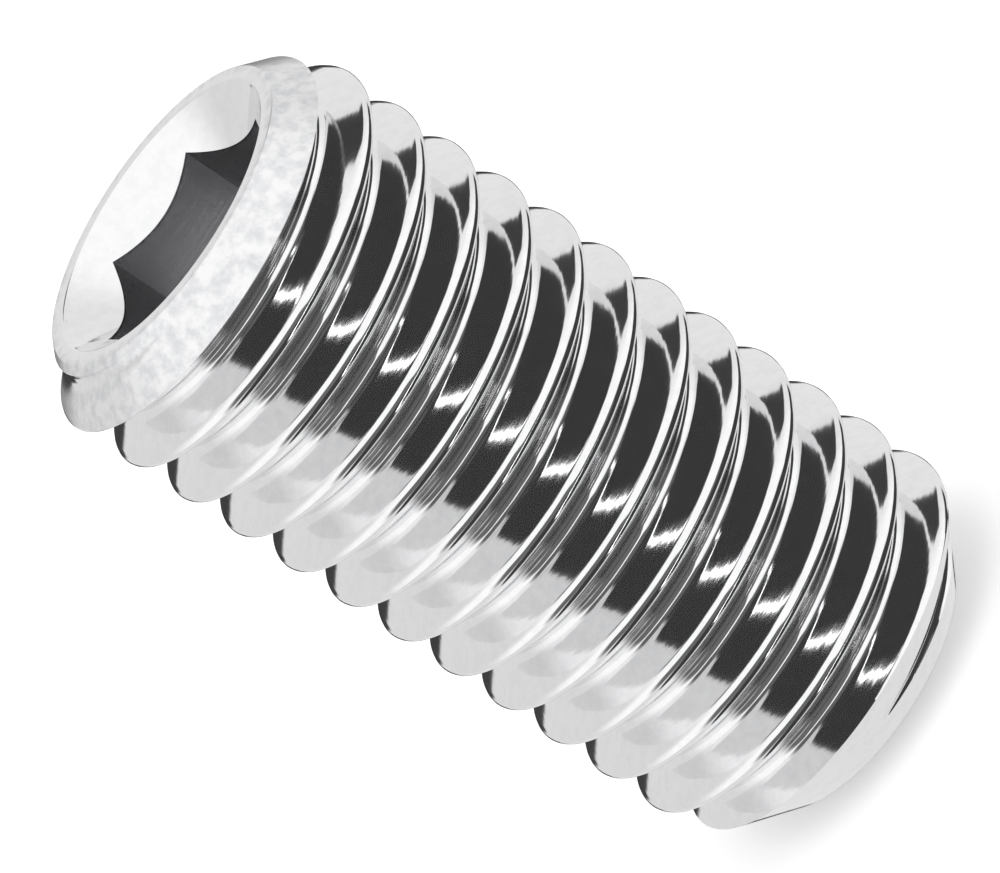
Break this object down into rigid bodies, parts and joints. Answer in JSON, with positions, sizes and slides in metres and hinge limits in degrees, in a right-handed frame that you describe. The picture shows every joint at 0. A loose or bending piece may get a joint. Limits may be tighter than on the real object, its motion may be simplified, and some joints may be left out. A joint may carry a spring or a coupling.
{
  "type": "grub set screw",
  "caption": "Socket set screw: a threaded steel stud with no head, a hexagon socket sunk in one end and a flat point at the other.",
  "frame": {"origin": "middle of the point's flat face, on which the screw stands", "axes": "+Z along the screw's axis from the point towards the hexagon socket; two corners of the socket lie on X"},
  "size_m": [0.0098, 0.0098, 0.02],
  "materials": {
    "bright_plated_steel": "bright zinc plated steel, polished threads, slightly mottled end face"
  },
  "bodies": {
    "root": {"set_screw": "bright_plated_steel"}
  },
  "joints": []
}
